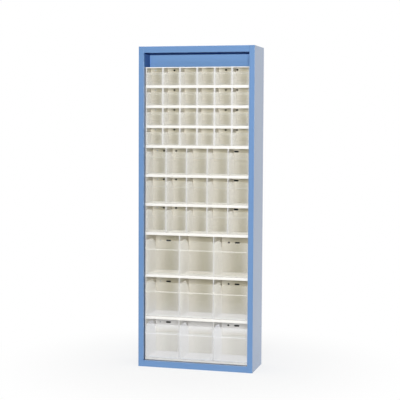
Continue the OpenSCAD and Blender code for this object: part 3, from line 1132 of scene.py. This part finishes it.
# %% Bins
trays = {}
for size in BAND_H:
    s = bin_sizes(size)
    shape = bin_tray(s)
    add_label_frame(shape, s)
    add_pins(shape, s)
    mark_across(shape, [0], s["half"])
    trays[size] = shape
    print(size, "tray", len(shape.faces), "faces")

for name in sorted(pivots):
    size = name.split("_")[0]
    shape = trays[size].copy()
    bmesh.ops.translate(shape, vec=pivots[name], verts=shape.verts)
    new_piece(name + "_tray", shape, clear_plastic, body=name, stands_for=[name])
print(len(pivots), "bins")

# %% [markdown]
# ## Room and light
#
# The cabinet stands in a white studio. One soft lamp stands in front of it, a little to the right and a little
# higher than its middle, so that the rims are bright and the hollows keep a soft shade. A very large one
# overhead lights the decks and the floor. The world is pure white where the camera or a reflection looks at
# it, and much weaker as a source of light, so that the hollows keep their depth.

# %% World
AMBIENT = 0.05
WHITE = (1, 1, 1, 1)
world = bpy.data.worlds.new("studio")
bpy.context.scene.world = world
world.use_nodes = True
tree = world.node_tree
tree.nodes.clear()
dim = add_node(tree, "ShaderNodeBackground", {"Color": WHITE, "Strength": AMBIENT}).outputs["Background"]
bright = add_node(tree, "ShaderNodeBackground", {"Color": WHITE, "Strength": 1.0}).outputs["Background"]
choice = {"Fac": directly_seen(tree), 1: dim, 2: bright}
sky = add_node(tree, "ShaderNodeMixShader", choice).outputs["Shader"]
add_node(tree, "ShaderNodeOutputWorld", {"Surface": sky})
print("world ambient", AMBIENT)

# %% [markdown]
# The floor is white paper that shines a little by itself, so that it runs into the white of the room without
# an edge. Near the cabinet it shines less, which leaves the cabinet's soft shadow on it. What it sends up
# into the lowest bins is set apart from what the camera sees of it.

# %% Floor
FLOOR_R = 14.0
FADE_NEAR = 0.35
GLOW_FAR = 1.3
LEAST_GLOW = 0.75
BOUNCE = 1.0
BOUNCE_FAR = 2.4
pale = bpy.data.materials.new("studio_floor")
pale.use_nodes = True
tree = pale.node_tree
shader = tree.nodes["Principled BSDF"]
shader.inputs["Base Color"].default_value = linear(240, 240, 240)
shader.inputs["Roughness"].default_value = 0.9
shader.inputs["Specular IOR Level"].default_value = 0.0
glow = add_node(tree, "ShaderNodeEmission", {"Strength": 1.0}).outputs["Emission"]
distance = add_node(tree, "ShaderNodeVectorMath", {0: own_place(tree)}, operation="LENGTH").outputs["Value"]
sent = map_range(tree, distance, FADE_NEAR, BOUNCE_FAR, BOUNCE, 0.0, ease="SMOOTHSTEP")
seen = map_range(tree, distance, FADE_NEAR, GLOW_FAR, LEAST_GLOW, 1.0, ease="SMOOTHSTEP")
share = add_node(tree, "ShaderNodeMix", {"Factor": directly_seen(tree), "A": sent, "B": seen}).outputs["Result"]
choice = {"Fac": share, 1: shader.outputs["BSDF"], 2: glow}
paper = add_node(tree, "ShaderNodeMixShader", choice).outputs["Shader"]
tree.links.new(paper, tree.nodes["Material Output"].inputs["Surface"])

shape = bmesh.new()
bmesh.ops.create_circle(shape, cap_ends=True, segments=64, radius=FLOOR_R)
mesh = bpy.data.meshes.new("studio_floor")
shape.to_mesh(mesh)
shape.free()
mesh.materials.append(pale)
floor = bpy.data.objects.new("studio_floor", mesh)
bpy.context.scene.collection.objects.link(floor)
floor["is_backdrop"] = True
print("floor radius", FLOOR_R, "m")

# %% Lamps
TARGET = Vector((0, 0, 0.95))


def softbox(name, azimuth, elevation, distance, size, watts):
    """A square area lamp on a sphere round the cabinet. Azimuth 0 is straight ahead, 90 to its right."""
    data = bpy.data.lights.new(name, "AREA")
    data.shape = "RECTANGLE"
    data.size, data.size_y = size
    data.energy = watts
    lamp = bpy.data.objects.new(name, data)
    a, e = math.radians(azimuth), math.radians(elevation)
    away = Vector((math.sin(a) * math.cos(e), -math.cos(a) * math.cos(e), math.sin(e)))
    lamp.location = TARGET + away * distance
    lamp.rotation_mode = "QUATERNION"
    lamp.rotation_quaternion = away.to_track_quat("Z", "Y")
    bpy.context.scene.collection.objects.link(lamp)
    return lamp


softbox("key", azimuth=12, elevation=8, distance=5.6, size=(2.0, 1.2), watts=190)
softbox("overhead", azimuth=0, elevation=88, distance=3.6, size=(5.0, 5.0), watts=200)
print("two lamps")

# %% [markdown]
# ## Measure and finish
#
# The dressed object has to stay inside the construction's box. Its own box is printed, so that a piece that
# grew out of the construction's box can be noticed.

# %% Measure and finish
low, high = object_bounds()
print("box", [round(v, 4) for v in low], [round(v, 4) for v in high])
